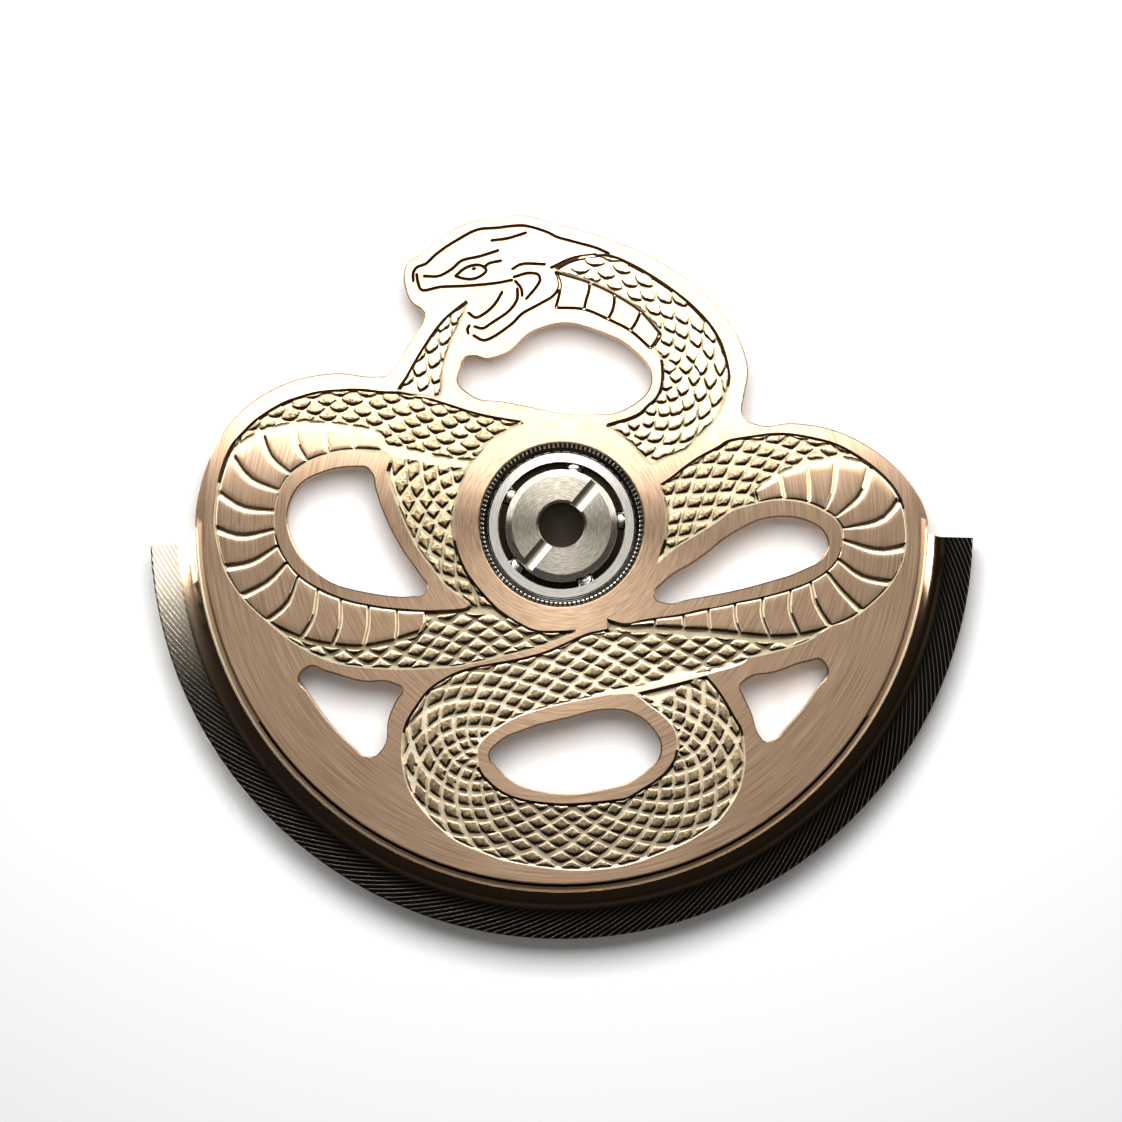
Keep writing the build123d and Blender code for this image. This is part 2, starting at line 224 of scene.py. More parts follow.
# Head lines, as pixels of the photograph
PHOTO_AXIS = (561.5, 524.5)
PHOTO_PIXELS_PER_UNIT = 413.0
HEAD_LINES = [
    [(416, 272), (417, 279), (421, 288), (440, 285), (464, 284), (496, 281), (512, 278)],
    [(423, 274), (438, 274), (451, 267), (461, 258.5), (479, 254), (498, 248)],
    [(455, 274), (463, 267), (473, 263), (481, 263.5), (486, 268), (481, 273.5), (472, 277), (463, 276.5),
     (455, 274)],
    [(472.2, 267), (474.6, 266.2)],
    [(485, 264), (489, 261), (501, 258.5)],
    [(491, 238), (508, 235.5), (526, 230)],
    [(512, 267), (521, 262), (545, 262)],
    [(551, 265.5), (572, 256), (596, 252)],
    [(513.5, 275), (528, 271), (538, 272.5), (540, 278), (535, 286.5), (526, 297)],
    [(515, 279), (521, 286.5), (522, 294)],
    [(502, 290), (494, 303), (484, 312), (475, 316), (468, 311)],
    [(517, 286.5), (517, 297), (510, 308), (492, 321), (482, 327), (474, 325)],
    [(558, 274), (559, 285), (553, 294), (540, 302), (522, 312), (512, 322), (492, 336), (483, 339), (473, 334)],
    [(469, 324), (467, 328), (468, 332)],
]
HEAD_CONTOUR = [
    (-360.5, 594), (-360.5, 616), (-352, 628), (-330, 637), (-309, 657), (-278.5, 680), (-248, 698.5), (-223, 713),
    (-198.5, 722), (-157, 725), (-125, 729), (-92, 730.5), (-63, 724), (-34, 714), (-10, 702), (15, 695), (48, 686),
    (84, 676), (115, 662),
]
HEAD_LINE_WIDTH = 0.105 * MM
HEAD_LINE_DEPTH = 0.08 * MM

# Lattices of small scales: pitch along the body and across it
SCALE_ALONG = 0.78 * MM
SCALE_ACROSS = 0.54 * MM
SCALE_GAP = 0.08 * MM
EDGE_GAP = 0.9 * SCALE_GAP
EDGE_OVERHANG = 0.3 * SCALE_ACROSS
LEAST_STRETCH = 0.35
MOST_DRIFT = 0.8 * SCALE_ALONG

# The guide line of a lattice: how finely it is drawn, and over how many points its direction is smoothed
GUIDE_STEP = 0.05 * MM
GUIDE_WINDOW = 41

# Scales too near an edge are moved in over a few rounds, along a slope measured over a short step
PULL_ROUNDS = 3
PULL_STEP = 0.01 * MM

# Hand cutting: how much the scales differ in size, place, tilt and height
CUT_SEED = 7
SIZE_SPREAD = 0.05
PLACE_SPREAD = 0.035 * SCALE_ACROSS
TILT_SPREAD = 0.03
HEIGHT_SPREAD = 0.008 * MM

# Which knots each round of blending a centripetal curve lies between
KNOT_PAIRS = (((0, 1), (1, 2), (2, 3)), ((0, 2), (1, 3)), ((1, 2),))


def placed(thousandths):
    return np.array(thousandths, float) / 1000 * UNIT


def from_photo(pixels):
    along, up = np.array(pixels, float).T
    x = (along - PHOTO_AXIS[0]) / PHOTO_PIXELS_PER_UNIT
    y = (PHOTO_AXIS[1] - up) / PHOTO_PIXELS_PER_UNIT
    return np.stack([x, y], 1) * UNIT


def smooth_line(points, closed=False, step=LINE_STEP):
    # A centripetal curve through the points, sampled about every step
    points = np.asarray(points, float)
    if closed:
        around = np.concatenate([points[-1:], points, points[:2]])
    else:
        first = 2 * points[:1] - points[1:2]
        last = 2 * points[-1:] - points[-2:-1]
        around = np.concatenate([first, points, last])
    out = []
    for four in zip(around, around[1:], around[2:], around[3:]):
        runs = [max(hypot(*(b - a)), 1e-9) for a, b in zip(four, four[1:])]
        knots = np.cumsum([0] + [run ** 0.5 for run in runs])
        count = max(1, ceil(hypot(*(four[2] - four[1])) / step))
        for t in np.linspace(knots[1], knots[2], count, endpoint=False):
            level = four
            for pairs in KNOT_PAIRS:
                level = [
                    ((knots[b] - t) * p + (t - knots[a]) * q) / (knots[b] - knots[a])
                    for (a, b), p, q in zip(pairs, level, level[1:])
                ]
            out.append(level[0])
    if not closed:
        out.append(points[-1])
    return np.array(out)


def polygon(*parts):
    # A closed outline of smooth parts that meet at corners
    return np.concatenate([smooth_line(placed(part)) for part in parts])


def distance_to(points, line, closed):
    starts = line if closed else line[:-1]
    ends = np.roll(line, -1, 0) if closed else line[1:]
    runs = ends - starts
    lengths = np.maximum((runs ** 2).sum(1), 1e-18)
    out = np.empty(len(points))
    for at in range(0, len(points), BATCH):
        near = points[at:at + BATCH, None, :] - starts[None]
        t = np.clip((near * runs).sum(2) / lengths, 0, 1)
        gap = near - t[..., None] * runs
        out[at:at + BATCH] = np.sqrt((gap ** 2).sum(2).min(1))
    return out


def is_inside(points, outline):
    x, y = points[:, 0], points[:, 1]
    inside = np.zeros(len(points), bool)
    for (x0, y0), (x1, y1) in zip(outline, np.roll(outline, -1, 0)):
        crossing = (y0 > y) != (y1 > y)
        if crossing.any():
            inside ^= crossing & (x < x0 + (y - y0) * (x1 - x0) / (y1 - y0 + 1e-18))
    return inside


def depth_inside(points, outline):
    # How far inside a closed outline each point lies; negative outside
    gap = distance_to(points, outline, True)
    return np.where(is_inside(points, outline), gap, -gap)


def shifted(line, amount, closed=True):
    # The line moved to its left by an amount
    if closed:
        ahead, behind = np.roll(line, -1, 0), np.roll(line, 1, 0)
    else:
        ahead = np.concatenate([line[1:], line[-1:]])
        behind = np.concatenate([line[:1], line[:-1]])
    along = ahead - behind
    along /= np.maximum(np.hypot(*along.T), 1e-12)[:, None]
    return line + amount * np.stack([-along[:, 1], along[:, 0]], 1)


def stroke_outline(line):
    # The edge of an engraved stroke, with a point at each end
    half = HEAD_LINE_WIDTH / 2
    tips = []
    for end, before in ((line[-1], line[-2]), (line[0], line[1])):
        run = end - before
        tips.append([end + half * run / hypot(*run)])
    return np.concatenate([shifted(line, -half, False), tips[0], shifted(line, half, False)[::-1], tips[1]])


def area_of(outline):
    # Positive where the outline runs with its inside on the left
    x, y = outline.T
    return 0.5 * (x * np.roll(y, -1) - np.roll(x, -1) * y).sum()


def turned_left(outline):
    return outline if area_of(outline) > 0 else outline[::-1]


def band_outline(dividers):
    # The whole row of belly scales as one closed outline
    outer = smooth_line(placed([line[0] for line in dividers]))
    inner = smooth_line(placed([line[-1] for line in dividers]))
    return turned_left(np.concatenate([outer, inner[::-1]]))


left_band = band_outline(LEFT_DIVIDERS)
right_band = band_outline(RIGHT_DIVIDERS)
throat_band = band_outline(THROAT_DIVIDERS)

beds = [
    polygon(LEFT_CONTOUR, LEFT_LIP, LEFT_HUB_SIDE, LEFT_UPPER_EDGE),
    polygon(RIGHT_CONTOUR, [(350, -347), (200, -330), (109, -260)], RIGHT_FRAME_LOWER, RIGHT_HUB_SIDE),
    polygon(LOWER_TOP, LOWER_CONTOUR, [(350, -365), (450, -325), (420, -270), (300, -260), (200, -250)]),
    polygon(NECK_OUTER, NECK_HUB_SIDE, NECK_INNER, THROAT_START),
    polygon(TAIL_OUTLINE),
]
beds = [turned_left(bed) for bed in beds]
islands = [turned_left(smooth_line(placed(ring), closed=True)) for ring in (LEFT_FRAME, LOWER_FRAME)]
islands += [turned_left(polygon(RIDGE_LOWER, RIDGE_UPPER)), throat_band]
throat_edges = [[line[end] for line in THROAT_DIVIDERS] for end in (0, -1)]
head_lines = [smooth_line(from_photo(line)) for line in HEAD_LINES]
head_lines += [smooth_line(placed(line)) for line in [HEAD_CONTOUR, *throat_edges, *THROAT_DIVIDERS]]


def deepest_inside(points, outlines):
    return np.max([depth_inside(points, outline) for outline in outlines], 0)


def clear_of(reach, points, holes):
    # The reach of points inside a field, less what lies in its holes
    for hole in holes:
        reach = np.minimum(reach, -depth_inside(points, hole))
    return reach


def bed_reach(points):
    # How far inside the engraved beds each point lies
    return clear_of(deepest_inside(points, beds), points, islands)


def plate_height(points, edges):
    # Height of the plate's engraved face above the frame's origin plane
    cut = BED_DEPTH * np.clip(bed_reach(points) / BED_WALL, 0, 1)
    for line in head_lines:
        gap = distance_to(points, line, False)
        cut = np.maximum(cut, HEAD_LINE_DEPTH * np.clip(1 - 2 * gap / HEAD_LINE_WIDTH, 0, 1))
    rim = np.min([distance_to(points, edge, True) for edge in edges], 0)
    cut = np.maximum(cut, np.clip(EDGE_CHAMFER - rim, 0, EDGE_CHAMFER))
    return PLATE_TOP - cut


def shown(name, data):
    # An object in the scene that holds a mesh, a lamp or a camera
    thing = bpy.data.objects.new(name, data)
    bpy.context.scene.collection.objects.link(thing)
    return thing


def new_piece(name, vertices, faces):
    # Faces that lie nearly level are shaded smooth and steep ones flat, as on a cut edge
    mesh = bpy.data.meshes.new(name)
    mesh.from_pydata([tuple(v) for v in vertices], [], [tuple(f) for f in faces])
    mesh.validate()
    mesh.polygons.foreach_set("use_smooth", [abs(face.normal.z) > NEARLY_LEVEL for face in mesh.polygons])
    return shown(name, mesh)


def boundary_loops(shell):
    # Closed loops of vertices round the holes of an open shell
    loops = []
    ahead = {}
    for edge in shell.edges:
        if edge.is_boundary:
            for vert in edge.verts:
                ahead.setdefault(vert, []).append(edge.other_vert(vert))
    unused = set(ahead)
    while unused:
        loop = [min(unused, key=lambda vert: vert.index)]
        unused.discard(loop[0])
        while following := [vert for vert in ahead[loop[-1]] if vert in unused]:
            loop.append(following[0])
            unused.discard(following[0])
        loops.append(loop)
    return loops


def plate_lines(edges, outer):
    # The lines at which the engraved face bends, each with whether it is closed
    lines = [(edge, True) for edge in edges]
    for edge in edges:
        side = 1 if edge is outer else -1
        lines.append((shifted(edge, side * EDGE_CHAMFER), True))
    for bed in beds:
        lines += [(bed, True), (shifted(bed, BED_WALL), True)]
    for island in islands:
        lines += [(island, True), (shifted(island, -BED_WALL), True)]
    for line in head_lines:
        lines += [(line, False), (stroke_outline(line), True)]
    return lines


def engraved_plate():
    # The plate's own walls and underside, closed by a new engraved face
    shell = bmesh.new()
    shell.from_mesh(nodes["rotor_plate"].data)
    bmesh.ops.remove_doubles(shell, verts=shell.verts, dist=SAME_POINT)
    lip = [e for e in shell.edges if {round(v.co.xy.length / MM, 2) for v in e.verts} == set(LIP_RADII)]
    bmesh.ops.subdivide_edges(shell, edges=lip, cuts=LIP_CUTS)
    tops = [f for f in shell.faces if all(v.co.z > PLATE_TOP - AT_TOP for v in f.verts)]
    bmesh.ops.delete(shell, geom=tops, context="FACES_ONLY")
    shell.verts.index_update()
    loops = boundary_loops(shell)
    edges = [turned_left(np.array([vert.co.xy for vert in loop])) for loop in loops]
    outer = max(edges, key=lambda edge: np.ptp(edge[:, 0]))
    for loop in loops:
        for vert in loop:
            vert.co.z -= EDGE_CHAMFER

    points, joins = [], []
    for line, closed in plate_lines(edges, outer):
        first = len(points)
        points += [Vector(p) / MM for p in line]
        count = len(line)
        joins += [(first + i, first + (i + 1) % count) for i in range(count if closed else count - 1)]
    flat, _, faces, _, _, _ = delaunay_2d_cdt(points, joins, [], 0, SAME_IN_MM)
    flat = np.array([tuple(p) for p in flat]) * MM
    middles = np.array([flat[list(face)].mean(0) for face in faces])
    kept = is_inside(middles, outer)
    for edge in edges:
        if edge is not outer:
            kept &= ~is_inside(middles, edge)
    heights = plate_height(flat, edges)
    face_verts = [shell.verts.new((x, y, z)) for (x, y), z in zip(flat, heights)]
    for face, keep in zip(faces, kept):
        if keep:
            shell.faces.new([face_verts[i] for i in face])
    bmesh.ops.delete(shell, geom=[v for v in face_verts if not v.link_faces], context="VERTS")
    bmesh.ops.remove_doubles(shell, verts=shell.verts, dist=SLIVER)
    mesh = bpy.data.meshes.new("engraved_plate")
    shell.to_mesh(mesh)
    shell.free()
    return shown("engraved_plate", mesh)


def hermite_side(points, at, share):
    # The point at a share of the smooth run from one guide point to the next
    points = np.asarray(points, float)
    before = points[max(at - 1, 0)]
    start, end = points[at], points[at + 1]
    after = points[min(at + 2, len(points) - 1)]
    leaving = (end - before) / 2 if at else end - start
    arriving = (after - start) / 2 if at + 2 < len(points) else end - start
    s = np.asarray(share)[:, None]
    return ((2 * s ** 3 - 3 * s ** 2 + 1) * start + (s ** 3 - 2 * s ** 2 + s) * leaving
            + (3 * s ** 2 - 2 * s ** 3) * end + (s ** 3 - s ** 2) * arriving)


def travel(line):
    # How far along a line each of its points lies
    return np.concatenate([[0], np.cumsum(np.hypot(*np.diff(line, axis=0).T))])


def read_at(places, travelled, line):
    return np.stack([np.interp(places, travelled, line[:, i]) for i in (0, 1)], 1)


def along_line(points, shares):
    # Points at shares of a smooth line's length
    line = smooth_line(points)
    travelled = travel(line)
    return read_at(np.asarray(shares) * travelled[-1], travelled, line)


def wall_width(side):
    # Walls that face along Y are cut flatter than those that face along X
    return PAD_WALL + PAD_WALL_EXTRA * abs(side[1]) / max(hypot(*side), 1e-9)


def between(start, end, share):
    return (1 - share) * start + share * end


def belly_scales(name, dividers):
    # A row of broad pads, each a curved patch between two dividers, with sloped sides and a rounded brink
    dividers = [placed(line) for line in dividers]
    outer_points = [line[0] for line in dividers]
    inner_points = [line[-1] for line in dividers]
    vertices, faces = [], []
    for at, (left, right) in enumerate(zip(dividers, dividers[1:])):
        out_run, in_run = right[0] - left[0], right[-1] - left[-1]
        left_run, right_run = left[-1] - left[0], right[-1] - right[0]
        width = (hypot(*out_run) + hypot(*in_run)) / 2
        depth = (hypot(*left_run) + hypot(*right_run)) / 2
        u, u_rise = patch_steps(width, *(wall_width((-run[1], run[0])) for run in (left_run, right_run)))
        v, v_rise = patch_steps(depth, *(wall_width((-run[1], run[0])) for run in (out_run, in_run)))
        outer = hermite_side(outer_points, at, u)
        inner = hermite_side(inner_points, at, u)
        first = along_line(left, v)
        second = along_line(right, v)
        base = len(vertices)
        for j, t in enumerate(v):
            for i, s in enumerate(u):
                flat = between(between(left[0], right[0], s), between(left[-1], right[-1], s), t)
                x, y = between(outer[i], inner[i], t) + between(first[j], second[j], s) - flat
                rise = min(u_rise[i], v_rise[j])
                crown = PAD_CROWN * 4 * s * (1 - s) * 4 * t * (1 - t) if rise >= 1 else 0
                z = PLATE_TOP - BED_DEPTH - PAD_SINK + rise * (PAD_RISE - PAD_CROWN + PAD_SINK) + crown
                vertices.append((x, y, z))
        columns = len(u)
        turn = 1 if out_run[0] * left_run[1] - out_run[1] * left_run[0] > 0 else -1
        for j in range(len(v) - 1):
            for i in range(columns - 1):
                a = base + j * columns + i
                faces.append((a, a + 1, a + columns + 1, a + columns)[::turn])
    return new_piece(name, vertices, faces)


def patch_steps(length, *walls):
    # Shares of a patch's length where its section bends, and how high the pad stands there
    rises = [0.0, BRINK_RISE, SHOULDER_RISE, 1.0]
    ends = []
    for wall in walls:
        places = np.cumsum([HALF_GAP, wall, PAD_ROUND, PAD_ROUND])
        ends.append([min(place / length, WIDEST_WALL) for place in places])
    first, last = ends
    middle = list(np.linspace(first[-1], 1 - last[-1], PATCH_STEPS)[1:-1])
    return first + middle + [1 - share for share in reversed(last)], rises + [1.0] * len(middle) + rises[::-1]


def scale_outline(along, across, sharpness):
    # A diamond with rounded corners: sharpness 1 has straight sides and 2 is an ellipse
    turns = np.linspace(0, 2 * pi, PAD_CORNERS, endpoint=False)
    c, s = np.cos(turns), np.sin(turns)
    reach = (np.abs(c) ** sharpness + np.abs(s) ** sharpness) ** (-1 / sharpness)
    return np.stack([along * c * reach, across * s * reach], 1)


def guide_frame(guide):
    # A guide line and the direction to its left, which turns gently
    line = smooth_line(placed(guide), step=GUIDE_STEP)
    sides = shifted(line, 1, False) - line
    window = np.hanning(GUIDE_WINDOW)
    window /= window.sum()
    margin = GUIDE_WINDOW // 2
    padded = np.pad(sides, ((margin, margin), (0, 0)), mode="edge")
    sides = np.stack([np.convolve(padded[:, k], window, "valid") for k in (0, 1)], 1)
    sides /= np.hypot(*sides.T)[:, None]
    return line, sides


def scale_field(name, region, holes, half_width, sharpness, least, guide):
    # Small scales on a staggered lattice that follows and bends with a guide line, trimmed to their field;
    # those with less than the least share of their full area are left out
    rng = np.random.default_rng(CUT_SEED)
    line, sides = guide_frame(guide)
    travelled = travel(line)

    def bent(spots):
        place, side = (read_at(spots[:, 0], travelled, way) for way in (line, sides))
        return place + spots[:, 1:] * side

    rows = np.arange(0, int(travelled[-1] / (SCALE_ALONG / 2)) + 1)
    most = int(placed(half_width) / SCALE_ACROSS) + 1
    columns = np.arange(-most, most + 1)
    spots = np.array([(i * SCALE_ALONG / 2, (j + 0.5 * (i % 2)) * SCALE_ACROSS) for i in rows for j in columns])
    centres = bent(spots)
    nudge = 0.1 * SCALE_ALONG
    ahead = bent(spots + (nudge, 0)) - bent(spots - (nudge, 0))
    stretch = np.hypot(*ahead.T) / (2 * nudge)
    heading = bent(spots + (0, SCALE_ACROSS)) - centres
    unfolded = heading[:, 0] * ahead[:, 1] - heading[:, 1] * ahead[:, 0] < 0
    nearest = ((centres[:, None] - line) ** 2).sum(2).argmin(1)
    drift = np.abs(travelled[nearest] - spots[:, 0])
    fits = unfolded & (stretch > LEAST_STRETCH) & (drift < MOST_DRIFT)
    fits &= clear_of(depth_inside(centres, region), centres, holes) > -EDGE_OVERHANG
    share = 1 - SCALE_GAP * hypot(1 / SCALE_ALONG, 1 / SCALE_ACROSS)
    pad = scale_outline(SCALE_ALONG / 2 * share, SCALE_ACROSS / 2 * share, sharpness)
    outlines = []
    for spot in spots[fits]:
        size = 1 + SIZE_SPREAD * rng.standard_normal(2)
        shift = PLACE_SPREAD * rng.standard_normal(2)
        outlines.append(bent(spot + shift + pad * size))
    vertices, faces = [], []
    for outline in np.split(pulled_in(np.concatenate(outlines), region, holes), len(outlines)):
        outline = turned_left(outline)
        if area_of(outline) >= least * SCALE_ALONG * SCALE_ACROSS / 2:
            add_pad(vertices, faces, outline, rng)
    return new_piece(name, vertices, faces)


def pulled_in(points, region, holes):
    # Points too near the field's edge are moved straight in to its margin
    moved = points.copy()
    for _ in range(PULL_ROUNDS):
        for outline, side in [(region, 1)] + [(hole, -1) for hole in holes]:
            reach = side * depth_inside(moved, outline)
            near = reach < EDGE_GAP
            if not near.any():
                continue
            here = moved[near]
            slope = np.stack([
                depth_inside(here + step, outline) - depth_inside(here - step, outline)
                for step in ((PULL_STEP, 0), (0, PULL_STEP))
            ], 1) * side
            slope /= np.maximum(np.hypot(*slope.T), 1e-12)[:, None]
            moved[near] = here + slope * (EDGE_GAP - reach[near])[:, None]
    return moved


def add_pad(vertices, faces, outline, rng):
    # A small pad: foot, brink, shoulder and a low crown, with a broad cut crescent where it faces -Y
    middle = outline.mean(0)
    arm = outline - middle
    length = np.maximum(np.hypot(*arm.T), 1e-9)[:, None]
    wall = SMALL_PAD_WALL + CRESCENT_WALL * np.maximum(-arm[:, 1:] / length, 0)
    bottom = PLATE_TOP - BED_DEPTH
    tilt = TILT_SPREAD * rng.standard_normal(2)
    lower = HEIGHT_SPREAD * rng.random()
    rings = [
        (0.0, 0.0, -PAD_SINK), (1.0, 0.0, WALL_RISE * PAD_RISE), (1.0, PAD_ROUND, BRINK_RISE * PAD_RISE),
        (1.0, 3 * PAD_ROUND, SHOULDER_RISE * PAD_RISE),
    ]
    base = len(vertices)
    for walls, further, rise in rings:
        ring = middle + arm * np.maximum(1 - (walls * wall + further) / length, NARROWEST_TOP)
        lean = (ring - middle) @ tilt
        for (x, y), dz in zip(ring, lean):
            vertices.append((x, y, bottom + rise - lower + (dz if rise > 0 else 0)))
    vertices.append((*middle, bottom + PAD_RISE - lower))
    crown = len(vertices) - 1
    for start in range(base, crown, PAD_CORNERS):
        for i in range(PAD_CORNERS):
            a, b = start + i, start + (i + 1) % PAD_CORNERS
            above = (b + PAD_CORNERS, a + PAD_CORNERS) if start + PAD_CORNERS < crown else (crown,)
            faces.append((a, b, *above))


LOWER_FIELD_TOP = [
    (109, -255), (165, -256), (226, -257), (296.5, -262), (359, -266), (433, -274), (505, -281), (577, -276),
    (652, -253), (700, -232),
]
LOWER_FIELD_EDGE = [
    (694, -236), (649, -252), (604, -280), (559, -298), (514, -311), (450, -330), (400, -343), (350, -356),
]
lower_field = turned_left(polygon(
    LOWER_FIELD_TOP, LOWER_FIELD_EDGE, RIDGE_UPPER[1:], LOWER_FRAME[20:], LOWER_FRAME[:20], RIDGE_LOWER,
    LOWER_CONTOUR[::-1], LOWER_TOP[::-1],
))

left_upper_field = turned_left(polygon(
    [(-825, 140), *LEFT_CONTOUR[10::-1], *LEFT_UPPER_EDGE[::-1]],
    [(-83, 250.6), (-150, 215), (-180, 185), (-205, 152)],
    [(-205, 152), (-250, 157), (-309, 165), (-360, 178), (-440, 190), (-600, 200), (-750, 170)],
))
left_inner_field = turned_left(polygon(
    [(-205, 143), (-250, 146), (-309, 153), (-360, 165), (-418, 172)],
    [(-450, 150), (-440, 90), (-400, 0), (-330, -130), (-225, -200), (-157, -204)],
    LEFT_HUB_SIDE[5:13],
))
left_lower_field = turned_left(polygon(
    LEFT_CONTOUR[17:], LEFT_LIP, [*LEFT_HUB_SIDE[:5], (-153, -212)],
    [(-153, -212), (-200, -212), (-235, -208), (-300, -214.5), (-350, -220), (-500, -250), (-620, -240),
     (-700, -210)],
))

# Fields of small scales: outline, what they leave free, half their width in thousandths, how pointed the scales
# are, the least share of a scale that is cut, and the line down the middle of the body
SCALE_FIELDS = [
    ("lower_coil_scales", lower_field, [], 150, 1.2, 0.1, [
        (740, -205), (670, -247), (580, -287), (460, -305), (300, -318), (100, -335), (-80, -370), (-200, -415),
        (-275, -480), (-300, -565), (-270, -655), (-195, -720), (-90, -755), (20, -765), (130, -755), (235, -715),
        (315, -645), (360, -560), (350, -470), (320, -410), (300, -380),
    ]),
    ("left_upper_scales", left_upper_field, [left_band], 120, 1.5, 0.1, [
        (-800, 165), (-760, 215), (-700, 250), (-620, 280), (-520, 285), (-420, 268), (-340, 245), (-260, 225),
        (-180, 215), (-90, 215),
    ]),
    ("left_inner_scales", left_inner_field, [islands[0]], 120, 1.2, 0.1, [
        (-290, 170), (-325, 100), (-330, 40), (-315, -30), (-280, -100), (-220, -160), (-160, -210),
    ]),
    ("left_lower_scales", left_lower_field, [islands[0], left_band], 130, 1.2, 0.1, [
        (-740, -215), (-660, -275), (-580, -312), (-480, -322), (-380, -312), (-300, -290), (-200, -270),
        (-100, -275), (0, -285),
    ]),
    ("right_coil_upper_scales", beds[1], [right_band], 160, 1.2, 0.1, [
        (230, -20), (310, 50), (420, 125), (530, 170), (630, 185), (720, 155), (780, 120),
    ]),
    ("neck_scales", beds[3], [throat_band], 160, 1.5, 0.25, [
        (-10, 630), (100, 620), (180, 585), (250, 530), (300, 460), (322, 380), (305, 290), (250, 225), (180, 200),
        (120, 220),
    ]),
    ("tail_scales", beds[4], [], 80, 1.5, 0.1, [(-220, 555), (-270, 480), (-310, 400), (-345, 320)]),
]


def add(tree, kind, inputs=None, **settings):
    # A node with its settings, and with values or links on its sockets
    node = tree.nodes.new(kind)
    for name, value in settings.items():
        setattr(node, name, value)
    for socket, value in (inputs or {}).items():
        if isinstance(value, bpy.types.NodeSocket):
            tree.links.new(value, node.inputs[socket])
        else:
            node.inputs[socket].default_value = value
    return node


def colour(code):
    # Linear colour of an sRGB code
    parts = [int(code[i:i + 2], 16) / 255 for i in (1, 3, 5)]
    return tuple(c / 12.92 if c <= 0.04045 else ((c + 0.055) / 1.055) ** 2.4 for c in parts) + (1.0,)


def new_finish(name, values):
    # A material with values on its shader's own sockets
    finish = bpy.data.materials.new(name)
    finish.use_nodes = True
    sockets = finish.node_tree.nodes["Principled BSDF"].inputs
    for socket, value in values.items():
        sockets[socket].default_value = value
    return finish, finish.node_tree, sockets


def even_metal(name, roughness, shade):
    # Metal of one tone all over
    return new_finish(name, {"Metallic": 1.0, "Roughness": roughness, "Base Color": colour(shade)})[0]


def worked(tree, sockets, marks, shades, depth):
    # The marks of a tool on a metal: a shade where they are low, another where they are high, and their depth
    ramp = add(tree, "ShaderNodeValToRGB", {"Fac": marks})
    for end, position, shade in zip(ramp.color_ramp.elements, SHADES_BETWEEN, shades):
        end.position, end.color = position, colour(shade)
    bump = add(tree, "ShaderNodeBump", {"Height": marks, "Strength": 1.0, "Distance": depth})
    tree.links.new(ramp.outputs["Color"], sockets["Base Color"])
    tree.links.new(bump.outputs["Normal"], sockets["Normal"])


def about_axis(tree):
    # A point's arm from the rotor's axis, how long it is and how far round it has turned
    place = add(tree, "ShaderNodeTexCoord").outputs["Object"]
    split = add(tree, "ShaderNodeSeparateXYZ", {0: place}).outputs
    arm = add(tree, "ShaderNodeVectorMath", {0: place, 1: (1, 1, 0)}, operation="MULTIPLY").outputs[0]
    reach = add(tree, "ShaderNodeVectorMath", {0: arm}, operation="LENGTH").outputs["Value"]
    turn = add(tree, "ShaderNodeMath", {0: split["Y"], 1: split["X"]}, operation="ARCTAN2").outputs[0]
    return arm, reach, turn


# A tool's marks go from one shade to the other between these heights of their pattern. Real brush marks are too
# fine to show, so they are drawn coarser: this far apart, and so many end to end in a radian.
SHADES_BETWEEN = (0.3, 0.7)
STREAK_PITCH = 0.038 * MM
STREAK_TURNS = 5.0


def brushed(name, shades, roughness, depth, stretch):
    # Brushed in circles about the rotor's axis: fine streaks, and highlights that spread across them
    metal, tree, sockets = new_finish(name, {"Metallic": 1.0, "Roughness": roughness, "Anisotropic": stretch})
    arm, reach, turn = about_axis(tree)
    across = add(tree, "ShaderNodeMath", {0: reach, 1: 1 / STREAK_PITCH}, operation="MULTIPLY").outputs[0]
    along = add(tree, "ShaderNodeMath", {0: turn, 1: STREAK_TURNS}, operation="MULTIPLY").outputs[0]
    spot = add(tree, "ShaderNodeCombineXYZ", {"X": across, "Y": along}).outputs[0]
    streaks = add(tree, "ShaderNodeTexNoise", {"Vector": spot, "Scale": 1.0, "Detail": 3.0}).outputs["Fac"]
    worked(tree, sockets, streaks, shades, depth)
    outward = add(tree, "ShaderNodeVectorTransform", {"Vector": arm}, vector_type="VECTOR", convert_from="OBJECT",
                  convert_to="WORLD").outputs[0]
    tree.links.new(outward, sockets["Tangent"])
    return metal


def grained(name, shades, roughness, grit, depth):
    # Metal with an even grain of some size, blasted or chased
    metal, tree, sockets = new_finish(name, {"Metallic": 1.0, "Roughness": roughness})
    place = add(tree, "ShaderNodeTexCoord").outputs["Object"]
    grain = add(tree, "ShaderNodeTexNoise", {"Vector": place, "Scale": 1 / grit, "Detail": 2.0}).outputs["Fac"]
    worked(tree, sockets, grain, shades, depth)
    return metal


# Rose-gold plated brass. Brushed, it is warm and its sheens run outward from the axis.
brushed_rose_gold = brushed("rose_gold_brushed", ("#A08168", "#CDB094"), 0.32, 0.003 * MM, 0.88)

# Blasted with fine grit, it is even, pale and matt from every side. A darker copy of it is painted shade in the
# beds other than the lower coil's
BLAST_GRIT = 0.05 * MM
satin_rose_gold = grained("rose_gold_blasted", ("#D4C7B0", "#E2D6C0"), 0.65, BLAST_GRIT, 0.0)
shaded_satin_rose_gold = grained("rose_gold_blasted_painted_shade", ("#867C66", "#9D927B"), 0.65, BLAST_GRIT, 0.0)
